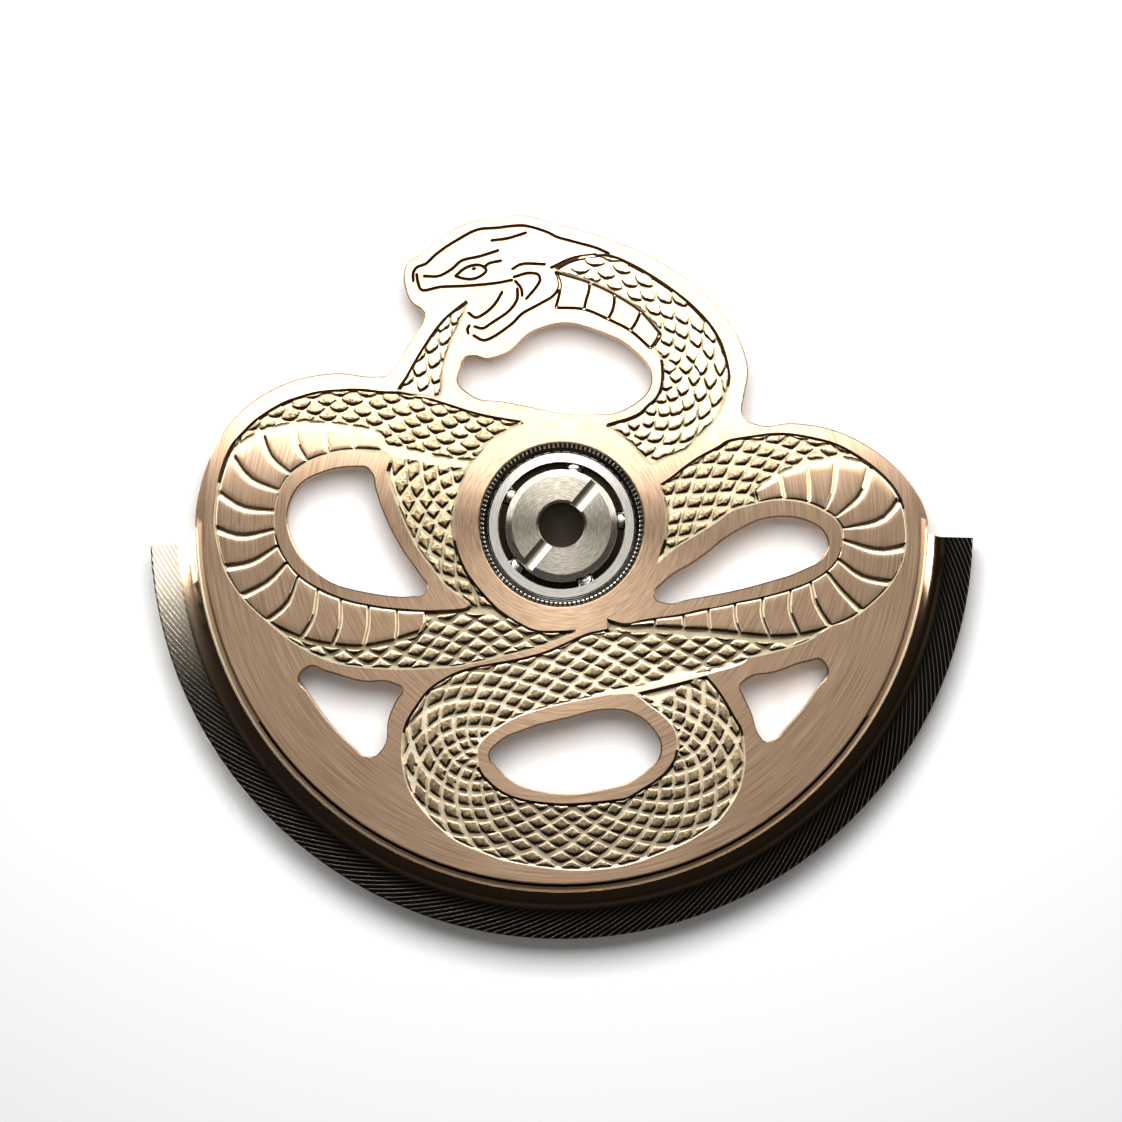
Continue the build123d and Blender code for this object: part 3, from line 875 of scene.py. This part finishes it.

# Chased with a small punch, it glitters in broken spots; a darker copy of it is painted shade on the upper left,
# inner left and right coil's upper scales
PUNCH_SIZE = 0.10 * MM
chased_rose_gold = grained("rose_gold_chased", ("#84735A", "#C2AE8C"), 0.42, PUNCH_SIZE, 0.018 * MM)
shaded_chased_rose_gold = grained("rose_gold_chased_painted_shade", ("#5C4C37", "#AB9676"), 0.42, PUNCH_SIZE, 0.026 * MM)

# On the windows' walls it is matt and brown. A nearly black copy of it is painted shade on the walls that face -Y
# and in the head's strokes, which draws the engraving's lines
matt_rose_gold = grained("rose_gold_matt", ("#8E745C", "#A58A70"), 0.55, BLAST_GRIT, 0.0)
painted_shade_rose_gold = grained("rose_gold_painted_shade", ("#1B120B", "#2A1D13"), 0.60, BLAST_GRIT, 0.0)

# Engine turning: the grooves lie about 64 degrees off the radius, some 0.13 mm apart, which is coarser than real
# ones so that they show. They fade in outside the cove, and only the top of each wave is a crest, coloured lighter
# as a painted highlight.
GROOVE_REACH = 6.2 * MM
GROOVE_COUNT = 270
GROOVE_DEPTH = 0.0035 * MM
GROOVES_FROM, GROOVES_FULL = 12.0 * MM, 12.6 * MM
COVE_RADII = (11.7 * MM, 12.15 * MM)
CREST_FROM = 0.7


def engine_turned():
    # Black nickel over heavy alloy: fine curved grooves across the half ring, dark, with a painted warm reflection in
    # the cove and painted highlights on the crests
    metal, tree, sockets = new_finish("black_nickel_engine_turned", {"Metallic": 1.0, "Roughness": 0.12})
    _, reach, turn = about_axis(tree)
    sweep = add(tree, "ShaderNodeMath", {0: reach, 1: 1 / GROOVE_REACH}, operation="MULTIPLY").outputs[0]
    phase = add(tree, "ShaderNodeMath", {0: turn, 1: sweep}, operation="ADD").outputs[0]
    swing = add(tree, "ShaderNodeMath", {0: phase, 1: float(GROOVE_COUNT)}, operation="MULTIPLY").outputs[0]
    wave = add(tree, "ShaderNodeMath", {0: swing}, operation="SINE").outputs[0]
    wave = add(tree, "ShaderNodeMapRange", {"Value": wave, "From Min": CREST_FROM}).outputs["Result"]
    grooved, outside_cove = (
        add(tree, "ShaderNodeMapRange", {"Value": reach, "From Min": low, "From Max": high},
            interpolation_type="SMOOTHSTEP").outputs["Result"]
        for low, high in ((GROOVES_FROM, GROOVES_FULL), COVE_RADII)
    )
    wave = add(tree, "ShaderNodeMath", {0: wave, 1: grooved}, operation="MULTIPLY").outputs[0]
    bump = add(tree, "ShaderNodeBump", {"Height": wave, "Strength": 1.0, "Distance": GROOVE_DEPTH}).outputs["Normal"]
    # Painted reflection: the cove is coloured warm brown, as if it mirrored the plate
    ramp = add(tree, "ShaderNodeValToRGB", {"Fac": outside_cove})
    for end, shade in zip(ramp.color_ramp.elements, ("#7A6550", "#13110E")):
        end.color = colour(shade)
    # Painted highlight: the crests are coloured lighter
    painted_crest_highlights = add(tree, "ShaderNodeMix", {0: wave, 6: ramp.outputs["Color"], 7: colour("#6C675D")}, data_type="RGBA")
    tree.links.new(bump, sockets["Normal"])
    tree.links.new(painted_crest_highlights.outputs[2], sockets["Base Color"])
    return metal


black_nickel = engine_turned()

# Steel: polished, it mirrors the cards; turned, it has rings with a sheen across them; milled, it is bright but soft.
# On the collar two dark copies are painted shade: a dark polished one on its funnel, and a nearly black one on half
# of each tooth, which hardly shows
polished_steel = even_metal("bearing_steel_polished", 0.10, "#EDEAE3")
painted_shade_polished_steel = even_metal("steel_polished_painted_shade", 0.14, "#3E3B36")
milled_steel = even_metal("steel_milled", 0.22, "#B8B1A4")
painted_shade_steel = grained("steel_painted_shade", ("#0B0A09", "#171412"), 0.50, BLAST_GRIT, 0.0)
turned_steel = brushed("steel_circular_turned", ("#857F72", "#AEA79A"), 0.26, 0.003 * MM, 0.85)
ring_steel = brushed("bearing_steel_turned", ("#D6D2C8", "#F2EFE8"), 0.17, 0.002 * MM, 0.7)

# Brass: fine cut, it is bright yellow; the cage's is satin and coloured nearly black as painted shade, so that only
# the balls glint in the gap
cut_brass = even_metal("brass_fine_cut", 0.28, "#D9B878")
shade_painted_brass = even_metal("brass_satin_painted_shade", 0.50, "#18130D")

# Painted shade: the screw's bore is coloured dark below its mouth
BORE_DARK, BORE_LIGHT = 0.55 * MM, 0.98 * MM
tree = turned_steel.node_tree
tone = tree.nodes["Principled BSDF"].inputs["Base Color"]
turned = tone.links[0].from_socket
height = add(tree, "ShaderNodeSeparateXYZ", {0: add(tree, "ShaderNodeTexCoord").outputs["Object"]}).outputs["Z"]
light = {"Value": height, "From Min": BORE_DARK, "From Max": BORE_LIGHT}
light = add(tree, "ShaderNodeMapRange", light).outputs["Result"]
shaded = add(tree, "ShaderNodeMix", {0: light, 6: colour("#3A352C"), 7: turned}, data_type="RGBA")
tree.links.new(shaded.outputs[2], tone)


def dress(piece, finishes, parts=None):
    # Gives a piece its finishes, and says which of them each face has
    for finish in finishes:
        piece.data.materials.append(finish)
    if parts is not None:
        piece.data.polygons.foreach_set("material_index", parts)


# Faces are told apart by their normals: level, engraved, on the lip, upright or a scale's top by their Z, and given
# painted shade by their Y
LEVEL_Z, ENGRAVED_Z, LIP_Z, UPRIGHT_Z, SCALE_TOP_Z = 0.97, 0.2, 0.5, 0.3, 0.85
BED_DARK_Y, NECK_DARK_Y, LIP_DARK_Y, SCALE_DARK_Y = -0.12, 0.15, -0.1, -0.25
DEEPEST = 1.2 * BED_DEPTH

PLATE_FINISHES = (brushed_rose_gold, satin_rose_gold, painted_shade_rose_gold, matt_rose_gold, shaded_satin_rose_gold)
BRUSHED, BLASTED, PAINTED_SHADE, MATT, DIM = range(5)


def plate_parts(plate):
    # Which finish each face of the plate has, by its place and by the way it faces
    middles = np.array([tuple(face.center) for face in plate.data.polygons])
    _, facing_y, facing_z = np.array([tuple(face.normal) for face in plate.data.polygons]).T
    flat = middles[:, :2]
    away = np.hypot(*flat.T)
    level = facing_z > LEVEL_Z
    top = (middles[:, 2] > PLATE_TOP - DEEPEST) & (facing_z > ENGRAVED_Z)
    bed = top & (bed_reach(flat) > 0)
    dim = deepest_inside(flat, beds[:2] + beds[3:]) > 0
    dark_y = np.where(depth_inside(flat, beds[3]) > 0, NECK_DARK_Y, BED_DARK_Y)
    ridge = depth_inside(flat, islands[2]) > 0
    stroke = np.min([distance_to(flat, line, False) for line in head_lines], 0) < 0.5 * HEAD_LINE_WIDTH
    lip = (away > LIP_RADII[0] * MM) & (facing_z > LIP_Z) & (middles[:, 2] < PLATE_TOP - LIP_DROP)
    # Painted shade: the beds other than the lower coil's take the darker copy of the blasted finish
    parts = np.where(bed, np.where(dim, DIM, BLASTED), BRUSHED)
    # Painted shade: bed walls that face -Y are coloured nearly black
    parts[bed & ~level & (facing_y < dark_y)] = PAINTED_SHADE
    parts[top & ridge & level] = BLASTED
    # Painted shade in the head's strokes: their walls are coloured nearly black
    parts[top & stroke & ~level] = PAINTED_SHADE
    parts[lip | (np.abs(facing_z) < UPRIGHT_Z)] = MATT
    # Painted shade on the lip's inner part where it faces -Y
    parts[lip & (away < LIP_LINE_TO) & (facing_y < LIP_DARK_Y)] = PAINTED_SHADE
    parts[lip & (away > LIP_BLASTED_FROM) & (middles[:, 1] < LIP_ENDS)] = BLASTED
    return parts.astype(int)


plate = engraved_plate()
dress(plate, PLATE_FINISHES, plate_parts(plate))
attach(plate, "rotor")
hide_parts("rotor_plate")

relief = [belly_scales("left_belly_scales", LEFT_DIVIDERS), belly_scales("right_belly_scales", RIGHT_DIVIDERS)]
relief += [scale_field(*row) for row in SCALE_FIELDS]

# The small scales' tops are chased, on three fields in the darker chased copy with painted shade; the walls of some
# pieces are pale, those of the rest are the darker blasted copy with painted shade, and walls that face -Y are
# painted shade nearly black
tops = dict.fromkeys(("lower_coil_scales", "left_lower_scales", "neck_scales", "tail_scales"), chased_rose_gold)
# Painted shade: these fields' scale tops take the darker chased copy
for name in ("left_upper_scales", "left_inner_scales", "right_coil_upper_scales"):
    tops[name] = shaded_chased_rose_gold
pale = ("lower_coil_scales", "left_lower_scales", "left_belly_scales", "right_belly_scales")
for piece in relief:
    top = tops.get(piece.name, brushed_rose_gold)
    wall = satin_rose_gold if piece.name in pale else shaded_satin_rose_gold
    facing = [face.normal for face in piece.data.polygons]
    # Painted shade: scale walls that face -Y are coloured nearly black
    parts = [0 if abs(side.z) > SCALE_TOP_Z else 2 if side.y < SCALE_DARK_Y else 1 for side in facing]
    dress(piece, (top, wall, painted_shade_rose_gold), parts)
    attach(piece, "rotor")

# The knurled collar: its teeth, and its section from the plate down to the race's bore, as radius and height in mm
COLLAR_TEETH = 108
COLLAR_TOOTH = 0.03 * MM
TOOTH_SHAPE = (0.5, 1, 0.5, 0)
TOOTHED_RADII = (2.46, 2.56)
TOOTHED_ROWS = (2, 3)
COLLAR_PROFILE = [
    (2.60, 1.045), (2.60, 1.205), (2.55, 1.20), (2.47, 1.115), (2.455, 1.105), (2.41, 1.06), (2.395, 1.058),
    (2.345, 1.005), (2.33, 1.003), (2.27, 0.945), (2.27, 0.93),
]


def knurled_collar():
    # The race's rim rises to the plate in a steep funnel, cut all round with fine teeth
    steps = len(TOOTH_SHAPE)
    turns = np.linspace(0, 2 * pi, COLLAR_TEETH * steps, endpoint=False)
    vertices, faces, parts = [], [], []
    for k, turn in enumerate(turns):
        tooth = COLLAR_TOOTH * TOOTH_SHAPE[k % steps]
        for radius, height in COLLAR_PROFILE:
            out = radius * MM + (TOOTHED_RADII[0] < radius < TOOTHED_RADII[1]) * tooth
            vertices.append((out * cos(turn), out * sin(turn), height * MM))
    rows = len(COLLAR_PROFILE)
    for k in range(len(turns)):
        a, b = k * rows, (k + 1) % len(turns) * rows
        faces += [(a + i, a + i + 1, b + i + 1, b + i) for i in range(rows - 1)]
        # Painted shade: half of each tooth is coloured nearly black, and the rest of the collar is dark polished
        # steel
        flank = 1 if k % steps < steps / 2 else 2
        parts += [flank if i in TOOTHED_ROWS else 0 for i in range(rows - 1)]
    piece = new_piece("knurled_collar", vertices, faces)
    dress(piece, (painted_shade_polished_steel, painted_shade_steel, polished_steel), parts)
    return piece


# The slot of the screw is milled with a rounded floor
SLOT_HALF = 0.215 * MM
SLOT_RUN = (0.73 * MM, 1.70 * MM)
SLOT_FLOOR = 0.165 * MM
SLOT_RISE = 0.08 * MM
SLOT_CURVE = 1.5
SLOT_TURN = radians(50)
SLOT_LINES = 15


def slot_trough():
    # Both halves of the screw's slot as shallow troughs
    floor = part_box("center_screw")[1].z - SLOT_FLOOR
    along, across = (cos(SLOT_TURN), sin(SLOT_TURN)), (-sin(SLOT_TURN), cos(SLOT_TURN))
    vertices, faces = [], []
    for side in (1, -1):
        base = len(vertices)
        for run in SLOT_RUN:
            for share in np.linspace(-1, 1, SLOT_LINES):
                x, y = (side * run * along[i] + share * SLOT_HALF * across[i] for i in (0, 1))
                vertices.append((x, y, floor + SLOT_RISE * abs(share) ** SLOT_CURVE))
        for a in range(base, base + SLOT_LINES - 1):
            faces.append((a, a + 1, a + SLOT_LINES + 1, a + SLOT_LINES)[::side])
    piece = new_piece("screw_slot_troughs", vertices, faces)
    piece.data.polygons.foreach_set("use_smooth", [True] * len(faces))
    dress(piece, [milled_steel])
    return piece


collar = knurled_collar()
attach(collar, "rotor")
trough = slot_trough()
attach(trough, "hub")

finishes = {
    "weight_segment": black_nickel, "bearing_outer_race": ring_steel, "rotor_gear": cut_brass,
    "ball_cage": shade_painted_brass, "center_screw": turned_steel, "rotor_plate": brushed_rose_gold,
}
for name, node in nodes.items():
    node.data.materials.clear()
    dress(node, [finishes.get(name, polished_steel)])

# A white table just under the rotor, of matt card that is even and hardly shadowed
TABLE_HALF = 400 * MM
TABLE_GAP = 0.02 * MM
floor_z = cad_low[2] - TABLE_GAP
corners = [(x * TABLE_HALF, y * TABLE_HALF, floor_z) for x, y in ((-1, -1), (1, -1), (1, 1), (-1, 1))]
floor = new_piece("white_table", corners, [(0, 1, 2, 3)])
white, _, _ = new_finish("matt_white_card", {
    "Base Color": colour("#F6F6F6"), "Roughness": 0.9, "Emission Color": colour("#FFFFFF"), "Emission Strength": 0.05,
})
dress(floor, [white])

# Soft studio light: a dim dome overhead that fades out between two sines of the angle from straight up
DOME_FADES = (0.35, 0.60)
DOME_GLOW = (0.38, 0.06)
world = bpy.data.worlds.new("studio")
world.use_nodes = True
bpy.context.scene.world = world
sky = world.node_tree
sky.nodes.clear()
look = add(sky, "ShaderNodeTexCoord").outputs["Generated"]
level = add(sky, "ShaderNodeVectorMath", {0: look, 1: (1.0, 1.0, 0.0)}, operation="MULTIPLY").outputs[0]
level = add(sky, "ShaderNodeVectorMath", {0: level}, operation="LENGTH").outputs["Value"]
dome = dict(zip(("Value", "From Min", "From Max", "To Min", "To Max"), (level, *DOME_FADES, *DOME_GLOW)))
dome = add(sky, "ShaderNodeMapRange", dome, interpolation_type="SMOOTHSTEP").outputs["Result"]
ground = add(sky, "ShaderNodeBackground", {"Color": colour("#FFFAF2"), "Strength": dome})
add(sky, "ShaderNodeOutputWorld", {"Surface": ground.outputs[0]})


def lamp(name, place, aim, size, power):
    # A soft rectangular lamp, with its place, aim and size in mm
    light = bpy.data.lights.new(name, "AREA")
    light.shape = "RECTANGLE"
    light.size, light.size_y = (side * MM for side in size)
    light.energy = power
    holder = shown(name, light)
    holder.location = Vector(place) * MM
    holder.rotation_euler = (Vector(aim) - Vector(place)).to_track_quat("-Z", "Y").to_euler()
    holder.visible_camera = False
    return holder


def card(name, low, high, height, glow):
    # A white card held level above the rotor, in mm, with glow as bright as the table's white is 1
    size = (high[0] - low[0], high[1] - low[1])
    middle = ((low[0] + high[0]) / 2, (low[1] + high[1]) / 2)
    return lamp(name, (*middle, height), (*middle, 0), size, glow * pi * size[0] * MM * size[1] * MM)


def shines_on(light, pieces):
    lit = bpy.data.collections.new(light.name + "_lit")
    for piece in pieces:
        lit.objects.link(piece)
    light.light_linking.receiver_collection = lit


card("front_card", (-24, -6), (24, 4), 26, 0.30)
card("middle_card", (-24, 4), (24, 9), 26, 0.80)
on_rotor = [
    card("back_card", (-26, 3.4), (26, 30), 10, 3.0),
    card("back_strip", (-22, 7), (22, 10), 10, 55.0),
    lamp("key", (0, 100, 84), (0, 0, 0), (60, 34), 0.08),
]
for light in on_rotor:
    shines_on(light, [plate, *relief, collar, trough, *nodes.values()])
shines_on(lamp("table_light", (0, 17, 60), (0, 0, 0), (34, 34), 0.049), [floor])

# Small cards beside the weight's ends shine on the weight alone
on_weight = [
    card("end_card", (-60, -0.5), (-14.2, 9), 30, 170.0),
    card("end_fade_card", (-16.2, -1.9), (-14.2, -0.5), 30, 55.0),
    card("end_streak_card", (-15.3, -3.4), (-14.2, -1.9), 30, 20.0),
    lamp("left_card", (-45, 8, 10), (-12, 0, 0), (26, 18), 0.0294),
    lamp("right_card", (45, 8, 10), (12, 0, 0), (26, 18), 0.0294),
]
for light in on_weight:
    shines_on(light, [nodes["weight_segment"]])

# Camera almost straight above the rotor
AIM = (-0.016 * MM, -1.149 * MM, PLATE_TOP)
CAMERA_FAR = 120 * MM
CAMERA_RISE = radians(86)
FRAME_WIDE = 35.3 * MM
camera = bpy.data.cameras.new("camera")
camera.sensor_width = 36
camera.lens = camera.sensor_width * CAMERA_FAR / FRAME_WIDE
camera.clip_start, camera.clip_end = 0.001, 10
holder = shown("camera", camera)
holder.location = (AIM[0], AIM[1] - CAMERA_FAR * cos(CAMERA_RISE), AIM[2] + CAMERA_FAR * sin(CAMERA_RISE))
holder.rotation_euler = (pi / 2 - CAMERA_RISE, 0, 0)
bpy.context.scene.camera = holder
bpy.context.scene.view_settings.view_transform = "Standard"
